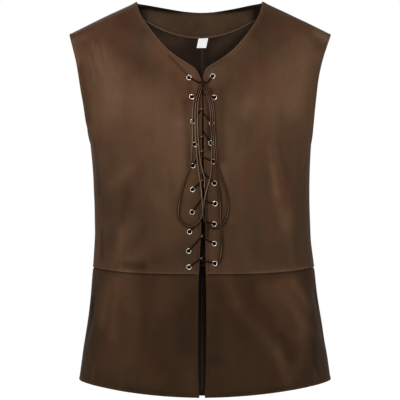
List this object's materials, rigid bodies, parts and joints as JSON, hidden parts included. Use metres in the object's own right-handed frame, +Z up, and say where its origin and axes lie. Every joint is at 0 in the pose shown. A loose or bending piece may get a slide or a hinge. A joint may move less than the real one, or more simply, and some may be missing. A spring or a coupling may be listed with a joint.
{
  "type": "laced sleeveless jerkin",
  "caption": "Brown imitation-suede sleeveless jerkin in worn form, with a V neck, a waist seam, a flared skirt and an open front laced through metal eyelets with a long bow.",
  "frame": {"origin": "midway between the two points where the shoulder seams meet the neckline, where the wearer's shoulders hold the garment", "axes": "+Z up, the front of the garment faces -Y, +X is the wearer's left"},
  "size_m": [0.475, 0.2523, 0.7293],
  "materials": {
    "suede": "imitation suede with a short nap and a soft broad sheen",
    "skirt_suede": "the same imitation suede, nap brushed down so it looks darker",
    "facing": "matt suede facing",
    "label": "white woven satin, blank",
    "eyelet": "bright nickel plate",
    "lace": "round braided cord"
  },
  "bodies": {
    "root": {"front_left": "suede", "front_right": "suede", "back_left": "suede", "back_right": "suede", "skirt_front_left": "skirt_suede", "skirt_front_right": "skirt_suede", "skirt_back_left": "skirt_suede", "skirt_back_right": "skirt_suede", "neck_facing": "facing", "neck_label": "label", "eyelet_left_01": "eyelet", "eyelet_left_02": "eyelet", "eyelet_left_03": "eyelet", "eyelet_left_04": "eyelet", "eyelet_left_05": "eyelet", "eyelet_left_06": "eyelet", "eyelet_left_07": "eyelet", "eyelet_left_08": "eyelet", "eyelet_left_09": "eyelet", "eyelet_left_10": "eyelet", "eyelet_right_01": "eyelet", "eyelet_right_02": "eyelet", "eyelet_right_03": "eyelet", "eyelet_right_04": "eyelet", "eyelet_right_05": "eyelet", "eyelet_right_06": "eyelet", "eyelet_right_07": "eyelet", "eyelet_right_08": "eyelet", "eyelet_right_09": "eyelet", "eyelet_right_10": "eyelet", "lace_left": "lace", "lace_right": "lace", "bow_knot": "lace", "loop_left": "lace", "loop_right": "lace", "tail_left": "lace", "tail_right": "lace"}
  },
  "joints": []
}
